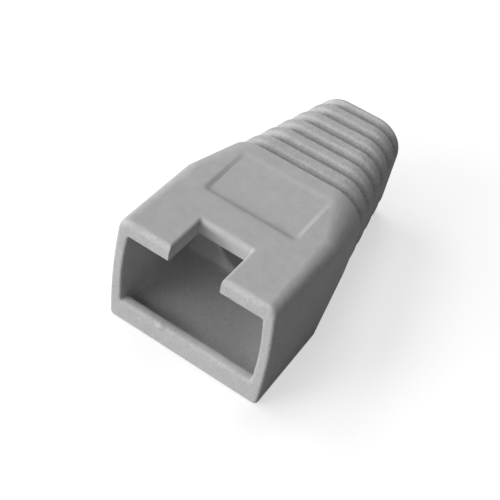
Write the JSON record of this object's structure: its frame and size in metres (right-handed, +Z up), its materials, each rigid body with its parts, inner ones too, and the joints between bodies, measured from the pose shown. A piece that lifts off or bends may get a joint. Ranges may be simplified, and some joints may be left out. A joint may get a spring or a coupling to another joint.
{
  "type": "network plug boot",
  "caption": "Moulded strain-relief boot for a modular network plug: boxy open-mouthed head with a latch notch and a bare recessed panel, and a ribbed tapering tail with a cable passage.",
  "frame": {"origin": "on the ground under the middle of the part: x = 0 is the plane that halves the part left and right, y = 0 is the middle of its length, z = 0 is the flat underside", "axes": "+Y along the cable passage, from the mouth towards the tail; +Z up, through the latch notch; +X to the right as seen looking into the mouth from the front"},
  "size_m": [0.0142, 0.025, 0.0106],
  "materials": {
    "boot": "fine matt moulded texture, neutral grey flexible PVC"
  },
  "bodies": {
    "root": {"boot": "boot"}
  },
  "joints": []
}
